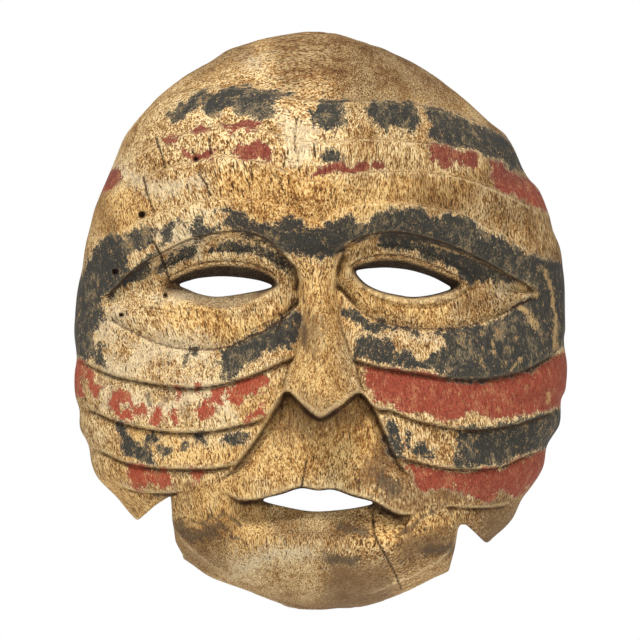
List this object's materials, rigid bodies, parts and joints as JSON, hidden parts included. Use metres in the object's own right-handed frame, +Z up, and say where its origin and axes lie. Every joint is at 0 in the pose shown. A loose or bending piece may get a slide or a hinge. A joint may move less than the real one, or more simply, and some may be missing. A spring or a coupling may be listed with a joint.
{
  "type": "carved wooden mask",
  "caption": "Carved and painted wooden dance mask with stepped bands, cut-out eyes and mouth, a hollow back and a swinging hanging ring.",
  "frame": {"origin": "middle of the rear opening, in the plane of the flat rear rim", "axes": "+Z up the face, the face looks towards -Y, +X to the right of someone facing the mask"},
  "size_m": [0.1967, 0.0967, 0.2295],
  "materials": {
    "painted_wood": "old bare softwood with flaking black, red and cream paint",
    "brass": "dulled"
  },
  "bodies": {
    "mask": {"carved_face": "painted_wood", "hanger_strap": "brass", "hanger_screws": "brass"},
    "ring": {"hanger_ring": "brass"}
  },
  "joints": [
    {"name": "ring_swing", "type": "hinge", "parent": "mask", "child": "ring", "pos_m": [0, -0.00246, 0.0925], "axis": [1, 0, 0], "range_deg": [-15, 165]}
  ]
}
